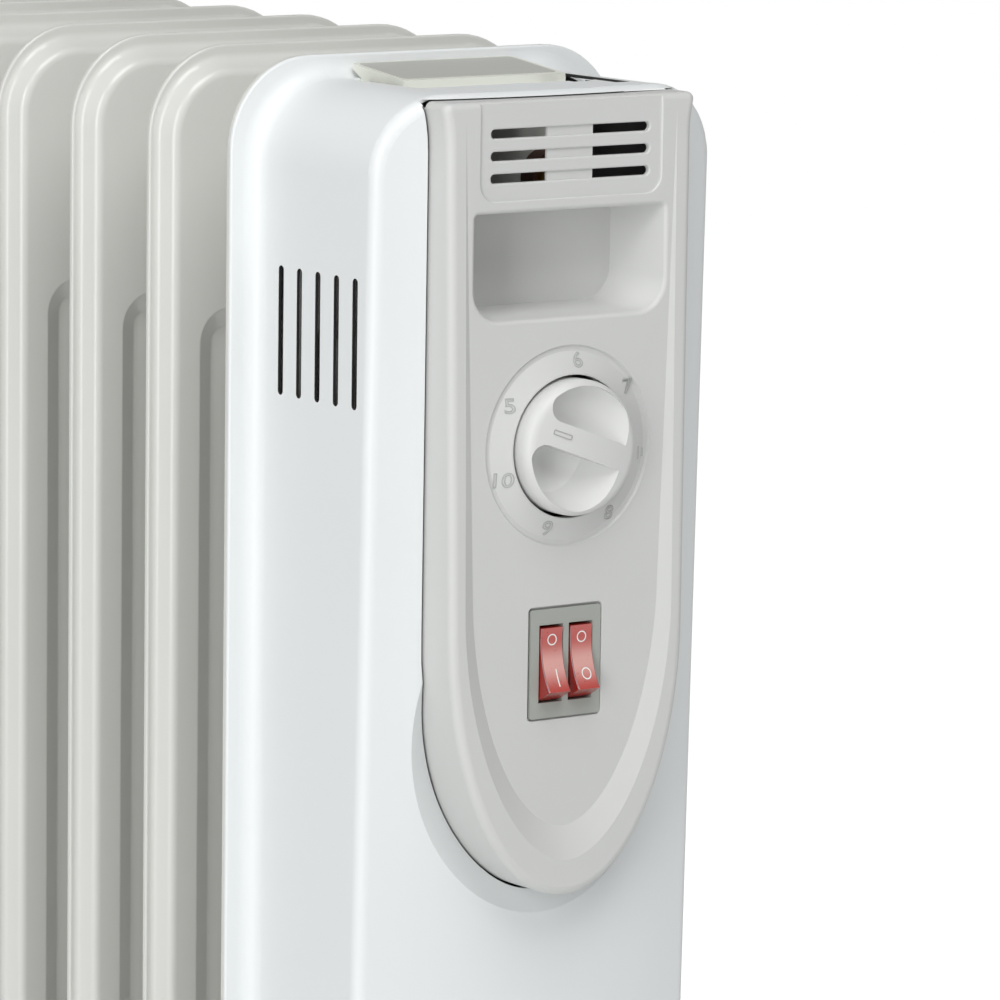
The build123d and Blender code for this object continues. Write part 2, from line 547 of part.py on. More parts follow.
tip = block(-wall_x, -wall_x + 14, PANEL_Y + 32, PANEL_Y + 54, 106, 138)
tip += block(-wall_x + 5, -wall_x + 9, PANEL_Y + 37, PANEL_Y + 49, 99, 106)
for side, z in SCREW_SPOTS[2:]:
    tip -= rod_x(PANEL_Y + 43, z, 1.6, -wall_x - 1, -wall_x + 6)
save("tip_over_switch", tip)

face_y = FIN_YS[0] - BULGE
cutout = rod_y(38, NECK_HIGH, 8.5, face_y - 6, face_y)
cutout += rod_y(38, NECK_HIGH, 5.0, face_y - 9, face_y - 6)
save("thermal_cutout", cutout)
tabs = [block(x - 0.4, x + 0.4, face_y - 13, face_y - 6, NECK_HIGH - 3, NECK_HIGH + 3) for x in (31.5, 44.5)]
save("cutout_terminals", Compound(children=[s for p in tabs for s in p.solids()]))

# ---------------------------------------------------------------- feet

u_bolts = []
wing_nuts = []
stems = []
leg = NECK_R + 0.3 + 2.5
for n, y in enumerate(BRACKET_YS):
    tray = block(-BRACKET_W / 2, BRACKET_W / 2, y - BRACKET_D / 2, y + BRACKET_D / 2,
                 FIN_BOTTOM - BRACKET_T, FIN_BOTTOM)
    for side in (-1, 1):
        edge = y + side * (BRACKET_D / 2 - BRACKET_T / 2)
        tray += block(-BRACKET_W / 2, BRACKET_W / 2, edge - BRACKET_T / 2, edge + BRACKET_T / 2,
                      FIN_BOTTOM - 9, FIN_BOTTOM)
    for x in (-leg, leg):
        tray -= rod_z(x, y, 2.8, 60, 80)
    for x in (-CASTOR_X, CASTOR_X):
        tray -= rod_z(x, y, 4.3, 60, 80)
        stem = rod_z(x, y, 4.0, 46, FIN_BOTTOM + 6)
        stem += rod_z(x, y, 8.0, FIN_BOTTOM - BRACKET_T - 2, FIN_BOTTOM - BRACKET_T)
        stem += Pos(x, y, 0) * extrude(Plane.XY.offset(FIN_BOTTOM) * RegularPolygon(7.5, 6), amount=4)
        stems.append(stem)
    save("front_foot_bracket" if n == 0 else "rear_foot_bracket", tray)
    path = Polyline((-leg, y, 56), (-leg, y, NECK_LOW))
    path += ThreePointArc((-leg, y, NECK_LOW), (0, y, NECK_LOW + leg), (leg, y, NECK_LOW))
    path += Polyline((leg, y, NECK_LOW), (leg, y, 56))
    u_bolts.append(sweep(Plane((-leg, y, 56), z_dir=(0, 0, 1)) * Circle(2.5), path))
    for x in (-leg, leg):
        low = FIN_BOTTOM - BRACKET_T
        wing = rod_z(x, y, 5.0, low - 6, low)
        wing += block(x - 1.0, x + 1.0, y - 13, y + 13, low - 9, low - 2)
        wing -= rod_z(x, y, 2.55, low - 12, low + 1)
        wing_nuts.append(wing)
save("u_bolts", Compound(children=[s for p in u_bolts for s in p.solids()]))
save("wing_nuts", Compound(children=[s for p in wing_nuts for s in p.solids()]))
save("castor_stems", Compound(children=[s for p in stems for s in p.solids()]))

web_outline = Polyline((-8, 67), (8, 67), (25, 55), (36, 34), (30, 12), (10, 12), (-6, 40), (-8, 46),
                       close=True)
spots = [(sx * CASTOR_X, y) for y in BRACKET_YS for sx in (-1, 1)]
for n, (x, y) in enumerate(spots):
    ax = y + TRAIL
    hood = rod_x(ax, WHEEL_R, 24.0, x - 13, x + 13) - rod_x(ax, WHEEL_R, 22.4, x - 14, x + 14)
    hood -= block(x - 14, x + 14, ax - 30, ax + 30, -5, WHEEL_R + 3)
    body = hood + Pos(x - 3.5, y, 0) * extrude(Plane.YZ * make_face(web_outline), amount=7)
    body += rod_z(x, y, 8.0, 42.5, 67.0)
    body -= rod_z(x, y, 4.05, 45.5, 70)
    body -= rod_x(ax, WHEEL_R, 2.55, x - 5, x + 5)
    save(f"castor_housing_{n + 1}", body)
    wheels = []
    for side in (-1, 1):
        tyre = rod_x(ax, WHEEL_R, WHEEL_R, x + side * 4.2, x + side * 12.6)
        tyre -= rod_x(ax, WHEEL_R, 15.5, x + side * 10.8, x + side * 12.7)
        tyre -= rod_x(ax, WHEEL_R, 2.6, x + side * 4, x + side * 10)
        wheels.append(tyre)
    save(f"castor_wheels_{n + 1}", Compound(children=[s for p in wheels for s in p.solids()]))
    save(f"castor_axle_{n + 1}", rod_x(ax, WHEEL_R, 2.5, x - 9.7, x + 9.7))
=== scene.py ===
import json
import math

import bmesh
import bpy
from bpy.props import FloatProperty, FloatVectorProperty, PointerProperty
from mathutils import Matrix, Vector
from mathutils.bvhtree import BVHTree


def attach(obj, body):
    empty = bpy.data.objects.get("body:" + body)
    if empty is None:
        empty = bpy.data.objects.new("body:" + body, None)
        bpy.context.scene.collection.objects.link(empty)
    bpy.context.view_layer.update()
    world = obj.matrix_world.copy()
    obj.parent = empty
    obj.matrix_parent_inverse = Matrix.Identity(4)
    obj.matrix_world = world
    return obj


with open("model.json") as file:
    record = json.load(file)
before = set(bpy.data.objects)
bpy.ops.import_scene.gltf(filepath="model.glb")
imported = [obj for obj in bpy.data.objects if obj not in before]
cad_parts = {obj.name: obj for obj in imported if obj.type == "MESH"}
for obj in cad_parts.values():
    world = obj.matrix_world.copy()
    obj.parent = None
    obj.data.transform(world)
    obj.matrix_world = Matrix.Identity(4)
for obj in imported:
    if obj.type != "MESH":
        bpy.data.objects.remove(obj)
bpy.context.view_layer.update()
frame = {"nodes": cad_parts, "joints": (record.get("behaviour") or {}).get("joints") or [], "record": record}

bl_info = {
    "name": "Oil Filled Radiator",
    "version": (1, 0, 0),
    "blender": (4, 5, 0),
    "location": "View3D > Sidebar > Radiator",
    "description": "Finishes and small pieces of an oil filled radiator heater, with a studio stage",
    "category": "Object",
}

MM = 0.001
NODES = frame["nodes"]
JOINTS = {joint["name"]: joint for joint in frame["joints"]}
SHAFT = Vector(JOINTS["thermostat_turn"]["pos_m"])
PIVOTS = {side: Vector(JOINTS[f"rocker_{side}_tilt"]["pos_m"]) for side in ("left", "right")}


# ---------------------------------------------------------------- sizes that stay with the shape

# A point in the middle of the cover, which its inner surfaces face
COVER_MIDDLE = (0, -110 * MM, 350 * MM)

# Field of the side air slots in Y and in Z: its middle and its half size, with a little room
SLOT_FIELD_Y = (-165 * MM, 20.7 * MM)
SLOT_FIELD_Z = (SHAFT.z + 29.7 * MM, 20.5 * MM)

# Dial words: the word, its angle in degrees (0 at the right, turning up) and its place in mm
# outside the circle of the numbers
DIAL_WORDS = (("5", 149.0, 0.0), ("6", 84.0, 0.0), ("7", 37.0, 1.2),
              ("8", -54.5, 0.8), ("9", -107.6, 0.0), ("10", 199.8, 0.5))
FONT_PER_NUMERAL = 1.36
NUMERAL_STRETCH = 1.25

# Rest mark: two upright bars, each with its place in mm outside that circle and its length in mm
REST_BARS = ((0.4, 3.6), (2.2, 2.4))
REST_BAR_WIDTH = 0.75 * MM
REST_BAR_LINE = 0.22 * MM
REST_DROP = 3.7 * MM

# Knob pointer: its place on a level grip bar, and the angle of the bar at rest
POINTER_WIDTH = 1.45 * MM
POINTER_LINE = 0.24 * MM
POINTER_PLACE = (-9.2 * MM, 0, 1.6 * MM)
POINTER_TURN = math.radians(20)

# Rocker marks: places across and up from the pivot in mm
ROCKER_RINGS = {"left": ((0.0, 6.8),), "right": ((0.0, 6.8), (0.4, -3.4))}
ROCKER_BARS = {"left": ((0.5, -3.7),), "right": ()}
RING_RADIUS = 1.62 * MM
BAR_LENGTH = 4.7 * MM
BAR_PER_LINE = 1.1

# Heights of the thin pieces over the surfaces that carry them
DIAL_LIFT = 0.04 * MM
POINTER_LIFT = 0.1 * MM
INK_LIFT = 0.03 * MM
FILM_LIFT = 0.06 * MM
POINTER_THICKNESS = 0.2 * MM
FILM_THICKNESS = 0.1 * MM
FILM_CORNER = 1.2 * MM

# Camera place in metres, its heading from +Y, its dip and its roll in radians, and its lens in mm
CAMERA_PLACE = (-1.0429, -1.6038, 0.7813)
CAMERA_TURN = 0.6296
CAMERA_DIP = 0.1517
CAMERA_ROLL = -0.0139
LENS = 228.53
SENSOR = 36

# Soft boxes: name, place, width and height in metres, and the setting that holds the power
SOFT_BOXES = (("key_light", (-2.0, -1.3, 1.0), (0.7, 2.0), "key_power"),
              ("top_light", (-0.3, -1.2, 2.3), (1.2, 1.2), "top_power"),
              ("front_light", (-0.6, -2.6, 1.0), (1.4, 1.4), "front_power"))
LIT_SPOT = Vector((0, -0.1, 0.35))
FLOOR_HALF = 4.0
FLOOR_LIFT = 0.75


# ---------------------------------------------------------------- settings

def lin(code):
    """Linear colour from an sRGB hex code."""
    parts = [int(code[i:i + 2], 16) / 255 for i in (0, 2, 4)]
    return tuple(c / 12.92 if c <= 0.04045 else ((c + 0.055) / 1.055) ** 2.4 for c in parts) + (1.0,)


def size(name, description, value, least, most, precision=4):
    """A length setting, given in millimetres."""
    return FloatProperty(name=name, description=description, default=value * MM, min=least * MM,
                         max=most * MM, unit="LENGTH", precision=precision)


def shade(name, description, code):
    """A colour setting, given as an sRGB hex code."""
    return FloatVectorProperty(name=name, description=description, default=lin(code), size=4,
                               min=0, max=1, subtype="COLOR")


def power(name, description, watts):
    """A lamp power setting, given in watts."""
    return FloatProperty(name=name, description=description, default=watts, min=0, max=200,
                         subtype="POWER")


class RadiatorSettings(bpy.types.PropertyGroup):
    numeral_height: size("Numeral height", "Height of the moulded dial numbers", 4.2, 1, 8)
    numeral_radius: size("Numeral radius", "Distance of the dial numbers from the shaft", 23.9, 20, 27)
    line_width: size("Moulded line", "Width of the raised lines that draw the numbers", 0.30, 0.05, 1, 5)
    pointer_length: size("Pointer length", "Length of the outlined pointer on the knob", 6.2, 2, 12)
    mark_width: size("Switch mark line", "Width of the white lines printed on the rockers", 0.34, 0.1, 1, 5)
    film_margin: size("Film margin", "Bare edge left round the film on the label plate", 1.6, 0.5, 5)

    cover_enamel: shade("Cover enamel", "Enamel of the front cover", "e3e6e7")
    cover_cloud: shade("Cover clouding", "Paler clouds in the enamel of the cover", "e9ecec")
    fin_enamel: shade("Fin enamel", "Enamel of the fins", "d0d1cc")
    fin_cloud: shade("Fin clouding", "Paler clouds in the enamel of the fins", "d8d8d4")
    panel_plastic: shade("Panel plastic", "Plastic of the control panel", "cbccca")
    panel_flow: shade("Panel flow", "Paler flow of the panel's plastic", "d1d2d0")
    knob_plastic: shade("Knob plastic", "Plastic of the thermostat knob", "d1d2d0")
    knob_flow: shade("Knob flow", "Paler flow of the knob's plastic", "d7d8d6")
    # Rocker shades: the pale middle is a painted highlight, and the deep sides and ends are painted shade
    rocker_highlight: shade("Rocker crown", "Middle of the rockers, where light gathers", "dba49d")
    rocker_front: shade("Rocker front", "Front of the rockers away from the middle", "b5423b")
    rocker_cheek_shade: shade("Rocker cheek", "Sides and ends of the rockers", "94180e")

    key_power: power("Key power", "Power of the large soft light at the left", 26.0)
    top_power: power("Top power", "Power of the soft light above the front", 22.0)
    front_power: power("Front power", "Power of the soft light beside the camera", 1.5)
    ambient: FloatProperty(name="Ambient", description="Strength of the even studio light",
                           default=0.31, min=0, max=2, subtype="FACTOR")


# ---------------------------------------------------------------- materials

def wire(tree, node, inputs):
    """Set or link a node's inputs by name or number. A node given for one links its first live output."""
    for key, given in inputs.items():
        if isinstance(given, bpy.types.Node):
            given = next(output for output in given.outputs if output.enabled)
        if isinstance(given, bpy.types.NodeSocket):
            tree.links.new(given, node.inputs[key])
        else:
            node.inputs[key].default_value = given


def add(tree, kind, inputs, **settings):
    """Add a shader node with its settings, values and links."""
    node = tree.nodes.new("ShaderNode" + kind)
    for key, value in settings.items():
        setattr(node, key, value)
    wire(tree, node, inputs)
    return node


def blank(name):
    """A new material with its tree, its Principled shader and the object coordinates."""
    material = bpy.data.materials.new(name)
    material.use_nodes = True
    tree = material.node_tree
    return material, tree, tree.nodes["Principled BSDF"], add(tree, "TexCoord", {}).outputs["Object"]


def enamel(name, low, high, rough, peel, coat):
    """Baked enamel on sheet steel: faint clouding, soft orange peel and a thin gloss over it."""
    material, tree, shader, place = blank(name)
    clouds = add(tree, "TexNoise", {"Vector": place, "Scale": 1 / (110 * MM)})
    dulling = add(tree, "TexNoise", {"Vector": place, "Scale": 1 / (17 * MM), "Detail": 4})
    skin = add(tree, "TexNoise", {"Vector": place, "Scale": 1 / (2.4 * MM)})
    wire(tree, shader, {
        "IOR": 1.5, "Coat Weight": coat, "Coat Roughness": 0.12, "Coat IOR": 1.5,
        "Base Color": add(tree, "Mix", {"Factor": clouds, "A": low, "B": high}, data_type="RGBA"),
        "Roughness": add(tree, "MapRange", {
            "Value": dulling, "To Min": rough - 0.05, "To Max": rough + 0.06}),
        "Normal": add(tree, "Bump", {"Height": skin, "Strength": peel, "Distance": 0.06 * MM})})
    return material


def shade_inside(material, low, high):
    """Painted shade: dull dark grey on every surface that faces the middle of the cover.

    The cut edges of the side air slots get this painted shade too. They lie in the field of the slots and
    face up, down, forwards or back, so the X of their normal is small.
    """
    tree = material.node_tree
    shader = tree.nodes["Principled BSDF"]
    sides = add(tree, "TexCoord", {})
    away = add(tree, "VectorMath", {0: sides.outputs["Object"], 1: COVER_MIDDLE}, operation="SUBTRACT")
    facing = add(tree, "VectorMath", {0: sides.outputs["Normal"], 1: away}, operation="DOT_PRODUCT")
    inner = add(tree, "Math", {0: facing, 1: 0.0}, operation="LESS_THAN")
    place = add(tree, "SeparateXYZ", {"Vector": sides.outputs["Object"]})
    normal = add(tree, "SeparateXYZ", {"Vector": sides.outputs["Normal"]})
    in_shade = add(tree, "Math", {0: normal.outputs["X"], 1: 0.0, 2: 0.6}, operation="COMPARE")
    for axis, (middle, half) in (("Y", SLOT_FIELD_Y), ("Z", SLOT_FIELD_Z)):
        within = add(tree, "Math", {0: place.outputs[axis], 1: middle, 2: half}, operation="COMPARE")
        in_shade = add(tree, "Math", {0: in_shade, 1: within}, operation="MULTIPLY")
    in_shade = add(tree, "Math", {0: inner, 1: in_shade}, operation="MAXIMUM")
    # Painted shade: mottled dark greys standing in for the shade inside the cover and in the slots
    mottle = add(tree, "TexNoise", {
        "Vector": sides.outputs["Object"], "Scale": 1 / (8.3 * MM), "Detail": 3})
    painted_shade = add(tree, "Mix", {"Factor": mottle, "A": low, "B": high}, data_type="RGBA")
    painted = shader.inputs["Base Color"].links[0].from_socket
    wire(tree, shader, {
        "Base Color": add(tree, "Mix", {"Factor": in_shade, "A": painted, "B": painted_shade}, data_type="RGBA")})
    return material


def moulded(name, low, high, rough, grain, depth, coat=0.0):
    """Moulded plastic: slight flow clouding and a fine spark-eroded grain, its width given in mm.

    The real grain is some hundredths of a millimetre, too fine to show, so it is drawn coarser.
    """
    material, tree, shader, place = blank(name)
    flow = add(tree, "TexNoise", {"Vector": place, "Scale": 1 / (62 * MM), "Detail": 3})
    fine = add(tree, "TexNoise", {
        "Vector": place, "Scale": 1 / (grain * MM), "Detail": 3, "Roughness": 0.65})
    wire(tree, shader, {
        "IOR": 1.46, "Coat Weight": coat, "Coat Roughness": 0.2,
        "Base Color": add(tree, "Mix", {"Factor": flow, "A": low, "B": high}, data_type="RGBA"),
        "Roughness": add(tree, "MapRange", {"Value": fine, "To Min": rough - 0.06, "To Max": rough + 0.08}),
        "Normal": add(tree, "Bump", {"Height": fine, "Strength": depth, "Distance": 0.05 * MM})})
    return material


def plated(name, low, high, rough, spangle, stretch=(1.0, 1.0, 1.0)):
    """Plated or drawn metal: spangle of a width in mm, and fine drawing lines.

    The real lines are finer than they are drawn, which lets them show.
    """
    material, tree, shader, place = blank(name)
    cells = add(tree, "TexVoronoi", {"Vector": place, "Scale": 1 / (spangle * MM)})
    drawn = add(tree, "Mapping", {"Vector": place, "Scale": stretch})
    lines = add(tree, "TexNoise", {
        "Vector": drawn, "Scale": 1 / (1.1 * MM), "Detail": 4, "Roughness": 0.6})
    wire(tree, shader, {
        "Metallic": 1.0,
        "Base Color": add(tree, "Mix", {"Factor": cells, "A": low, "B": high}, data_type="RGBA"),
        "Roughness": add(tree, "MapRange", {"Value": lines, "To Min": rough - 0.08, "To Max": rough + 0.12}),
        "Normal": add(tree, "Bump", {"Height": lines, "Strength": 0.15, "Distance": 0.04 * MM})})
    return material


def tinted(name, crown_highlight, front, cheek_shade, rim_shade, rough):
    """Tinted polycarbonate: a painted highlight makes the middle of the crown pale, and painted shade keeps
    the cheeks deep.

    The long rounded edges carry painted shade, a dull grey of their own.
    """
    material, tree, shader, place = blank(name)
    spot = add(tree, "SeparateXYZ", {"Vector": place})
    rise = add(tree, "Math", {0: spot.outputs["Z"], 1: PIVOTS["left"].z}, operation="SUBTRACT")
    height = add(tree, "Math", {0: rise}, operation="ABSOLUTE")
    ends = add(tree, "MapRange", {"Value": height, "From Min": 0.5 * MM, "From Max": 7.5 * MM},
               interpolation_type="SMOOTHSTEP")
    normal = add(tree, "SeparateXYZ", {"Vector": add(tree, "TexCoord", {}).outputs["Normal"]})
    turned = add(tree, "MapRange", {"Value": normal.outputs["Y"], "From Min": -0.85, "From Max": -0.35},
                 interpolation_type="SMOOTHSTEP")
    lean = add(tree, "Math", {0: normal.outputs["X"]}, operation="ABSOLUTE")
    edge = add(tree, "Math", {0: lean, 1: 0.6, 2: 0.3}, operation="COMPARE")
    # Painted highlight pales the middle of the crown, and painted shade deepens the cheeks and greys the
    # long edges
    colour = add(tree, "Mix", {"Factor": ends, "A": crown_highlight, "B": front}, data_type="RGBA")
    colour = add(tree, "Mix", {"Factor": turned, "A": colour, "B": cheek_shade}, data_type="RGBA")
    colour = add(tree, "Mix", {"Factor": edge, "A": colour, "B": rim_shade}, data_type="RGBA")
    haze = add(tree, "TexNoise", {"Vector": place, "Scale": 1 / (1.4 * MM)})
    fine = add(tree, "TexNoise", {"Vector": place, "Scale": 1 / (0.7 * MM)})
    wire(tree, shader, {
        "IOR": 1.58, "Subsurface Weight": 0.15, "Subsurface Scale": 1.5 * MM,
        "Subsurface Radius": (1.0, 0.3, 0.25), "Coat Weight": 0.6, "Coat Roughness": 0.15,
        "Base Color": colour,
        "Roughness": add(tree, "MapRange", {"Value": haze, "To Min": rough - 0.05, "To Max": rough + 0.08}),
        "Normal": add(tree, "Bump", {"Height": fine, "Strength": 0.12, "Distance": 0.04 * MM})})
    return material


def printed_white():
    """Pad-printed white ink: dense, slightly uneven."""
    material, tree, shader, place = blank("white_printing_ink")
    patches = add(tree, "TexNoise", {"Vector": place, "Scale": 1 / (0.6 * MM), "Detail": 4})
    wire(tree, shader, {
        "IOR": 1.45,
        "Base Color": add(tree, "Mix", {
            "Factor": patches, "A": lin("e6e8e4"), "B": lin("f4f5f2")}, data_type="RGBA"),
        "Roughness": add(tree, "MapRange", {"Value": patches, "To Min": 0.42, "To Max": 0.6})})
    return material


def shade_film():
    """Matt grey film, slightly metallic, brushed along X and slightly cloudy. Its grey is painted shade on
    the top of the label plate.

    The real brushing is finer than it is drawn, which lets it show.
    """
    material, tree, shader, place = blank("metallised_polyester_film")
    brushed = add(tree, "Mapping", {"Vector": place, "Scale": (0.06, 1.0, 1.0)})
    grain = add(tree, "TexNoise", {
        "Vector": brushed, "Scale": 1 / (1.1 * MM), "Detail": 3, "Roughness": 0.6})
    wire(tree, shader, {
        "Metallic": 0.25, "IOR": 1.5,
        "Base Color": add(tree, "Mix", {
            # Painted shade: greys that darken the top of the label plate
            "Factor": grain, "A": lin("c0c1bb"), "B": lin("cbccc6")}, data_type="RGBA"),
        "Roughness": add(tree, "MapRange", {"Value": grain, "To Min": 0.42, "To Max": 0.58}),
        "Normal": add(tree, "Bump", {"Height": grain, "Strength": 0.1, "Distance": 0.04 * MM})})
    return material


def polished_shaded_lines():
    """Raised lines from the polished part of the mould: smoother than the panel, and darker with painted
    shade along the lines.
    """
    # Greys darker than the panel: painted shade along the raised lines
    return moulded("polished_abs_lines", lin("a6a8a6"), lin("b0b2b0"),
                   rough=0.3, grain=0.42, depth=0.06, coat=0.2)


def make_finishes(settings):
    """One finish for each material slot of the record."""
    return {
        # Enamel on the front cover, painted shade inside it
        "white_steel": shade_inside(
            enamel("white_enamelled_steel", settings.cover_enamel, settings.cover_cloud,
                   rough=0.46, peel=0.10, coat=0.1),
            # Dark greys of the painted shade inside the cover
            lin("2b2b2b"), lin("343433")),
        # Satin warm enamel on the fins
        "fin_steel": enamel("fin_enamelled_steel", settings.fin_enamel, settings.fin_cloud,
                            rough=0.34, peel=0.12, coat=0.35),
        # Fine satin moulding of the control panel
        "grey_plastic": moulded("panel_abs_plastic", settings.panel_plastic, settings.panel_flow,
                                rough=0.46, grain=0.5, depth=0.16),
        # Smoother moulding of the knob
        "knob_plastic": moulded("knob_abs_plastic", settings.knob_plastic, settings.knob_flow,
                                rough=0.40, grain=0.42, depth=0.10),
        # Cream plate on the top
        "cream_plastic": moulded("cream_polypropylene", lin("dddfd5"), lin("e3e5db"),
                                 rough=0.44, grain=0.67, depth=0.2),
        # Matt bezel of the switch
        "bezel_plastic": moulded("bezel_nylon", lin("a0a39d"), lin("a7aaa4"),
                                 rough=0.52, grain=0.38, depth=0.25),
        # Translucent rockers, with a painted highlight at the middle and painted shade on the sides and long
        # edges
        "red_rocker": tinted("red_polycarbonate", settings.rocker_highlight, settings.rocker_front,
                             settings.rocker_cheek_shade, lin("7b5152"), rough=0.28),
        # Zinc plated fasteners, clips, plates and shafts
        "zinc_steel": plated("zinc_plated_steel", lin("b4b7ba"), lin("c6c9cc"),
                             rough=0.34, spangle=2.4),
        # Enamelled foot brackets
        "bracket_steel": enamel("bracket_enamelled_steel", lin("d9dad7"), lin("e0e1de"),
                                rough=0.4, peel=0.14, coat=0.2),
        # Brass terminals
        "brass": plated("rolled_brass", lin("b08f4e"), lin("c4a561"),
                        rough=0.3, spangle=1.7, stretch=(1.0, 0.1, 1.0)),
        # Brown mouldings of the thermostat and the cut-out
        "phenolic": moulded("brown_phenolic", lin("452b20"), lin("53362a"),
                            rough=0.5, grain=1.1, depth=0.3),
        # Black mouldings
        "black_plastic": moulded("black_nylon", lin("1c1d1e"), lin("262728"),
                                 rough=0.5, grain=0.67, depth=0.3),
        # Sheathed heating element
        "element_steel": plated("drawn_stainless_steel", lin("8f8d88"), lin("a3a09a"),
                                rough=0.4, spangle=3.3, stretch=(8.0, 0.4, 8.0)),
        # White terminal block
        "block_plastic": moulded("natural_nylon", lin("dcd9cd"), lin("e6e3d8"),
                                 rough=0.5, grain=0.83, depth=0.2),
    }


# ---------------------------------------------------------------- making pieces

def mesh_from(bm, name):
    """A mesh from a bmesh, which is freed."""
    mesh = bpy.data.meshes.new(name)
    bm.to_mesh(mesh)
    bm.free()
    return mesh


def piece(name, mesh, material, body):
    """A finished object in the object frame, with its finish, riding on its body."""
    made = bpy.data.objects.new(name, mesh)
    bpy.context.scene.collection.objects.link(made)
    mesh.materials.clear()
    mesh.materials.append(material)
    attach(made, body)
    return made


def thicken(made, thickness):
    """Give a thin piece its thickness, half to each side."""
    wall = made.modifiers.new("thickness", "SOLIDIFY")
    wall.thickness = thickness
    wall.offset = 0


def outline_text(word, height, line):
    """Mesh of a word drawn as raised outlines, standing in the XZ plane, its middle at the origin."""
    curve = bpy.data.curves.new("outline", "FONT")
    curve.body = word
    curve.size = height
    curve.align_x = "CENTER"
    curve.align_y = "CENTER"
    curve.fill_mode = "NONE"
    curve.bevel_depth = line / 2
    curve.bevel_resolution = 1
    holder = bpy.data.objects.new("outline", curve)
    bpy.context.scene.collection.objects.link(holder)
    bpy.context.view_layer.update()
    mesh = bpy.data.meshes.new_from_object(holder.evaluated_get(bpy.context.evaluated_depsgraph_get()))
    bpy.data.objects.remove(holder)
    mesh.transform(Matrix.Rotation(math.pi / 2, 4, "X"))
    return mesh


def bar_outline(length, width, line, corner=0.28, longest=1.2 * MM):
    """Rounded rectangle drawn as a flat frame in the XZ plane.

    Its corner is a share of its width, and edges over the longest length are cut into short ones.
    """
    bm = bmesh.new()
    bmesh.ops.create_grid(bm, x_segments=1, y_segments=1, size=0.5)
    bmesh.ops.scale(bm, vec=(length, width, 1), verts=bm.verts)
    bmesh.ops.bevel(bm, geom=list(bm.verts), offset=width * corner, segments=4, profile=0.5,
                    affect="VERTICES", material=-1)
    bmesh.ops.inset_region(bm, faces=list(bm.faces), thickness=line, use_even_offset=True,
                           use_boundary=True)
    middle = [face for face in bm.faces if all(not edge.is_boundary for edge in face.edges)]
    bmesh.ops.delete(bm, geom=middle, context="FACES")
    long_edges = [edge for edge in bm.edges if edge.calc_length() > longest]
    bmesh.ops.subdivide_edges(bm, edges=long_edges, cuts=5, use_grid_fill=True)
    bmesh.ops.rotate(bm, cent=(0, 0, 0), matrix=Matrix.Rotation(math.pi / 2, 3, "X"), verts=bm.verts)
    return mesh_from(bm, "bar_outline")


def join(meshes, name):
    """One mesh from several."""
    bm = bmesh.new()
    for mesh in meshes:
        bm.from_mesh(mesh)
    return mesh_from(bm, name)


def lay_on(verts, node, way, lift, reach=1.0):
    """Move thin work along one direction until it lies on a CAD node, lift above the surface."""
    cad = NODES[node].data
    surface = BVHTree.FromPolygons([v.co for v in cad.vertices], [p.vertices for p in cad.polygons])
    way = Vector(way)
    for vert in verts:
        hit = surface.ray_cast(vert.co - way * (vert.co.dot(way) + reach), way)[0]
        if hit is None:
            raise RuntimeError(f"a thin piece reaches past {node}")
        vert.co += way * (hit.dot(way) - lift)


class RADIATOR_OT_finishes(bpy.types.Operator):
    """Give every CAD node the procedural finish of its material slot"""
    bl_idname = "radiator.finishes"
    bl_label = "Finishes"

    def execute(self, context):
        finishes = make_finishes(context.scene.radiator)
        for part in frame["record"]["subparts"]:
            slot = part["material_slot"]
            if slot not in finishes:
                raise RuntimeError(f"no finish for slot {slot}")
            mesh = NODES[part["node"]].data
            mesh.materials.clear()
            mesh.materials.append(finishes[slot])
        return {"FINISHED"}


class RADIATOR_OT_dial_marks(bpy.types.Operator):
    """Mould the outlined numbers and the rest mark round the dial"""
    bl_idname = "radiator.dial_marks"
    bl_label = "Dial marks"

    def execute(self, context):
        settings = context.scene.radiator
        marks = []
        for word, degrees, out in DIAL_WORDS:
            mesh = outline_text(word, settings.numeral_height * FONT_PER_NUMERAL, settings.line_width)
            mesh.transform(Matrix.Diagonal((NUMERAL_STRETCH, 1, 1, 1)))
            angle = math.radians(degrees)
            spot = Vector((math.cos(angle), 0, math.sin(angle))) * (settings.numeral_radius + out * MM)
            mesh.transform(Matrix.Translation((SHAFT.x + spot.x, 0, SHAFT.z + spot.z)))
            marks.append(mesh)
        for out, length in REST_BARS:
            mesh = bar_outline(length * MM, REST_BAR_WIDTH, REST_BAR_LINE)
            mesh.transform(Matrix.Rotation(math.pi / 2, 4, "Y"))
            mesh.transform(Matrix.Translation((
                SHAFT.x + settings.numeral_radius + out * MM, 0, SHAFT.z - REST_DROP)))
            marks.append(mesh)
        mesh = join(marks, "dial_marks")
        lay_on(mesh.vertices, "control_panel", (0, 1, 0), DIAL_LIFT)
        piece("dial_marks", mesh, polished_shaded_lines(), "radiator")
        return {"FINISHED"}


class RADIATOR_OT_knob_pointer(bpy.types.Operator):
    """Raise the outlined pointer on the grip bar of the knob"""
    bl_idname = "radiator.knob_pointer"
    bl_label = "Knob pointer"

    def execute(self, context):
        mesh = bar_outline(context.scene.radiator.pointer_length, POINTER_WIDTH, POINTER_LINE)
        mesh.transform(Matrix.Translation(POINTER_PLACE))
        mesh.transform(Matrix.Rotation(POINTER_TURN, 4, "Y"))
        mesh.transform(Matrix.Translation((SHAFT.x, 0, SHAFT.z)))
        lay_on(mesh.vertices, "thermostat_knob", (0, 1, 0), POINTER_LIFT)
        thicken(piece("knob_pointer", mesh, polished_shaded_lines(), "dial"), POINTER_THICKNESS)
        return {"FINISHED"}


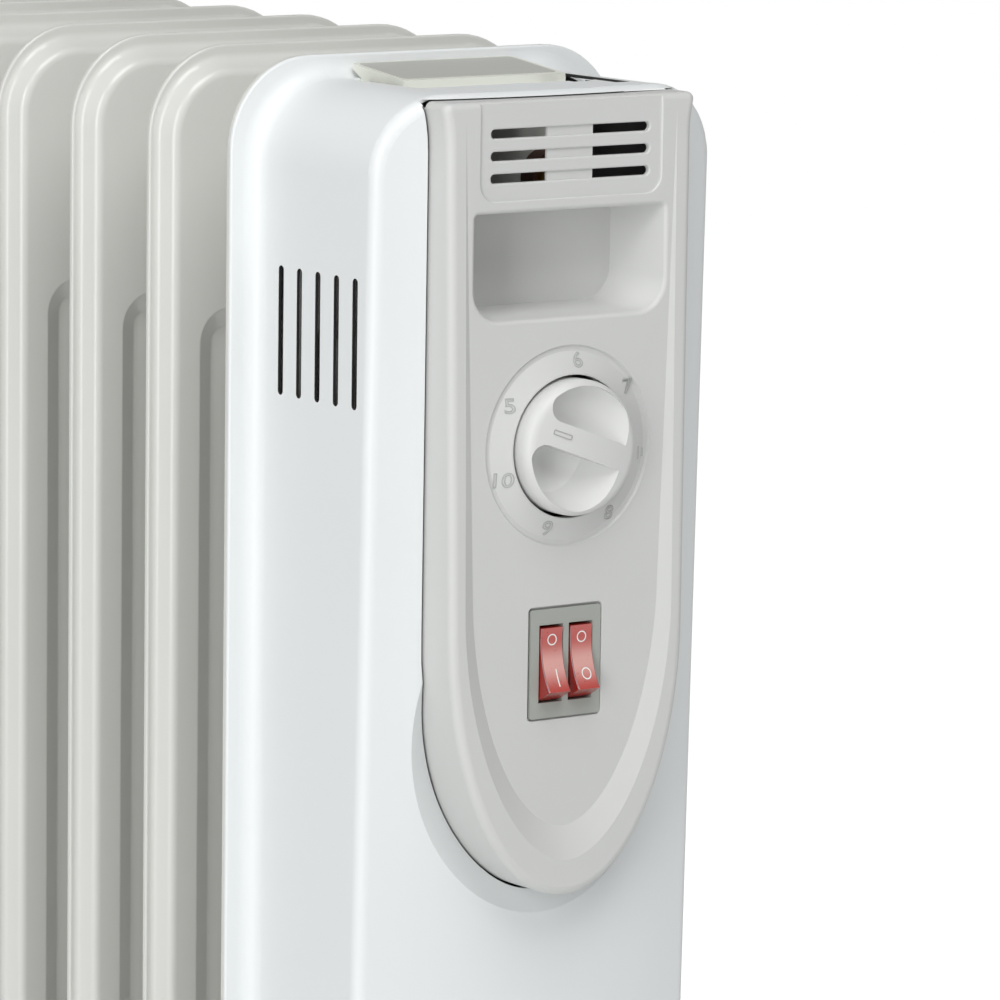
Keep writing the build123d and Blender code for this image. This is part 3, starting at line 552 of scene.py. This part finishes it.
class RADIATOR_OT_switch_marks(bpy.types.Operator):
    """Print the rings and the bar on the rockers"""
    bl_idname = "radiator.switch_marks"
    bl_label = "Switch marks"

    def execute(self, context):
        line = context.scene.radiator.mark_width
        ink = printed_white()
        for side, pivot in PIVOTS.items():
            bm = bmesh.new()
            for across, height in ROCKER_RINGS[side]:
                disc = bmesh.ops.create_circle(bm, cap_ends=True, segments=40, radius=RING_RADIUS)["verts"]
                bmesh.ops.translate(bm, vec=(across * MM, height * MM, 0), verts=disc)
            bmesh.ops.inset_individual(bm, faces=list(bm.faces), thickness=line, use_even_offset=True)
            discs = [face for face in bm.faces if len(face.verts) > 4]
            bmesh.ops.delete(bm, geom=discs, context="FACES")
            for across, height in ROCKER_BARS[side]:
                bar = bmesh.ops.create_grid(bm, x_segments=1, y_segments=12, size=0.5)["verts"]
                bmesh.ops.scale(bm, vec=(line * BAR_PER_LINE, BAR_LENGTH, 1), verts=bar)
                bmesh.ops.translate(bm, vec=(across * MM, height * MM, 0), verts=bar)
            bmesh.ops.rotate(bm, cent=(0, 0, 0), matrix=Matrix.Rotation(math.pi / 2, 3, "X"), verts=bm.verts)
            bmesh.ops.translate(bm, vec=(pivot.x, 0, pivot.z), verts=bm.verts)
            lay_on(bm.verts, f"rocker_{side}", (0, 1, 0), INK_LIFT)
            piece(f"rocker_{side}_marks", mesh_from(bm, "switch_marks"), ink, f"rocker_{side}_key")
        return {"FINISHED"}


class RADIATOR_OT_label_film(bpy.types.Operator):
    """Lay a grey film on the sloping top of the label plate, as painted shade on its top"""
    bl_idname = "radiator.label_film"
    bl_label = "Label film"

    def execute(self, context):
        margin = context.scene.radiator.film_margin
        plate = NODES["top_label_plate"].data
        xs, ys = ([v.co[axis] for v in plate.vertices] for axis in range(2))
        left, right, back = min(xs) + margin, max(xs) - margin, max(ys) - margin
        # The front edge of the plate is cut at a slant, so the film starts a little behind it
        front = min(ys) + 1.3 * margin
        bm = bmesh.new()
        bmesh.ops.create_grid(bm, x_segments=14, y_segments=8, size=0.5)
        bmesh.ops.scale(bm, vec=(right - left, back - front, 1), verts=bm.verts)
        bmesh.ops.translate(bm, vec=((left + right) / 2, (front + back) / 2, 0), verts=bm.verts)
        corners = [v for v in bm.verts if len(v.link_edges) == 2]
        bmesh.ops.bevel(bm, geom=corners, offset=FILM_CORNER, segments=4, profile=0.5,
                        affect="VERTICES", material=-1)
        lay_on(bm.verts, "top_label_plate", (0, 0, -1), FILM_LIFT)
        thicken(piece("label_film", mesh_from(bm, "label_film"), shade_film(), "radiator"),
                FILM_THICKNESS)
        return {"FINISHED"}


# ---------------------------------------------------------------- stage

def place_camera(scene):
    """Camera with its axes worked out from heading and dip, then rolled a little."""
    lens = bpy.data.cameras.new("camera")
    lens.lens = LENS
    lens.sensor_width = SENSOR
    lens.clip_start = 0.1
    lens.clip_end = 20
    level = Vector((math.sin(CAMERA_TURN), math.cos(CAMERA_TURN), 0))
    right = Vector((level.y, -level.x, 0))
    ahead = level * math.cos(CAMERA_DIP) - Vector((0, 0, math.sin(CAMERA_DIP)))
    up = right.cross(ahead)
    right, up = right - CAMERA_ROLL * up, up + CAMERA_ROLL * right
    camera = bpy.data.objects.new("camera", lens)
    scene.collection.objects.link(camera)
    axes = Matrix((right, up, -ahead)).transposed().to_4x4()
    camera.matrix_world = Matrix.Translation(CAMERA_PLACE) @ axes
    scene.camera = camera


def lay_floor(scene):
    """Pale matt floor. Seen directly, mirrored or through glass, it is lifted towards white."""
    bm = bmesh.new()
    bmesh.ops.create_grid(bm, x_segments=24, y_segments=24, size=FLOOR_HALF)
    mesh = mesh_from(bm, "floor")
    floor = bpy.data.objects.new("floor", mesh)
    scene.collection.objects.link(floor)
    material, tree, shader, place = blank("pale_studio_floor")
    clouds = add(tree, "TexNoise", {"Vector": place, "Scale": 1 / (330 * MM), "Detail": 3})
    path = add(tree, "LightPath", {})
    seen = add(tree, "Math", {0: path.outputs["Is Camera Ray"], 1: path.outputs["Is Glossy Ray"]},
               operation="MAXIMUM")
    seen = add(tree, "Math", {0: seen, 1: path.outputs["Is Transmission Ray"]}, operation="MAXIMUM")
    wire(tree, shader, {
        "Roughness": 0.9, "Specular IOR Level": 0.1, "Emission Color": (1, 1, 1, 1),
        "Base Color": add(tree, "Mix", {
            "Factor": clouds, "A": lin("f0f1f1"), "B": lin("f3f4f4")}, data_type="RGBA"),
        "Emission Strength": add(tree, "MapRange", {"Value": seen, "To Max": FLOOR_LIFT})})
    mesh.materials.append(material)


def light_world(scene, ambient):
    """Even light on the object. The camera and glass see plain white."""
    world = bpy.data.worlds.new("studio")
    scene.world = world
    world.use_nodes = True
    tree = world.node_tree
    path = add(tree, "LightPath", {})
    seen = add(tree, "Math", {0: path.outputs["Is Camera Ray"], 1: path.outputs["Is Transmission Ray"]},
               operation="MAXIMUM")
    wire(tree, tree.nodes["Background"], {
        "Color": (1, 1, 1, 1), "Strength": add(tree, "MapRange", {"Value": seen, "To Min": ambient})})


def soft_box(scene, name, place, spread, watts):
    """Rectangular studio light aimed at the middle of the object."""
    lamp = bpy.data.lights.new(name, "AREA")
    lamp.shape = "RECTANGLE"
    lamp.size, lamp.size_y = spread
    lamp.energy = watts
    box = bpy.data.objects.new(name, lamp)
    scene.collection.objects.link(box)
    box.location = place
    box.rotation_euler = (LIT_SPOT - Vector(place)).to_track_quat("-Z", "Y").to_euler()


class RADIATOR_OT_stage(bpy.types.Operator):
    """Set the camera, the pale floor and the soft studio light"""
    bl_idname = "radiator.stage"
    bl_label = "Stage"

    def execute(self, context):
        scene = context.scene
        place_camera(scene)
        lay_floor(scene)
        light_world(scene, scene.radiator.ambient)
        for name, place, spread, setting in SOFT_BOXES:
            soft_box(scene, name, place, spread, getattr(scene.radiator, setting))
        scene.view_settings.view_transform = "Standard"
        return {"FINISHED"}


# ---------------------------------------------------------------- panel and registration

OPERATORS = (RADIATOR_OT_finishes, RADIATOR_OT_dial_marks, RADIATOR_OT_knob_pointer,
             RADIATOR_OT_switch_marks, RADIATOR_OT_label_film, RADIATOR_OT_stage)


class RADIATOR_PT_panel(bpy.types.Panel):
    """Lists the settings and the pieces"""
    bl_idname = "RADIATOR_PT_panel"
    bl_label = "Radiator"
    bl_space_type = "VIEW_3D"
    bl_region_type = "UI"
    bl_category = "Radiator"

    def draw(self, context):
        for name in RadiatorSettings.__annotations__:
            self.layout.prop(context.scene.radiator, name)
        for operator in OPERATORS:
            self.layout.operator(operator.bl_idname)


CLASSES = (RadiatorSettings,) + OPERATORS + (RADIATOR_PT_panel,)


def register():
    for cls in CLASSES:
        bpy.utils.register_class(cls)
    bpy.types.Scene.radiator = PointerProperty(type=RadiatorSettings)


def unregister():
    del bpy.types.Scene.radiator
    for cls in reversed(CLASSES):
        bpy.utils.unregister_class(cls)


def main():
    register()
    bpy.ops.radiator.finishes()
    bpy.ops.radiator.dial_marks()
    bpy.ops.radiator.knob_pointer()
    bpy.ops.radiator.switch_marks()
    bpy.ops.radiator.label_film()
    bpy.ops.radiator.stage()


if __name__ == "__main__":
    main()
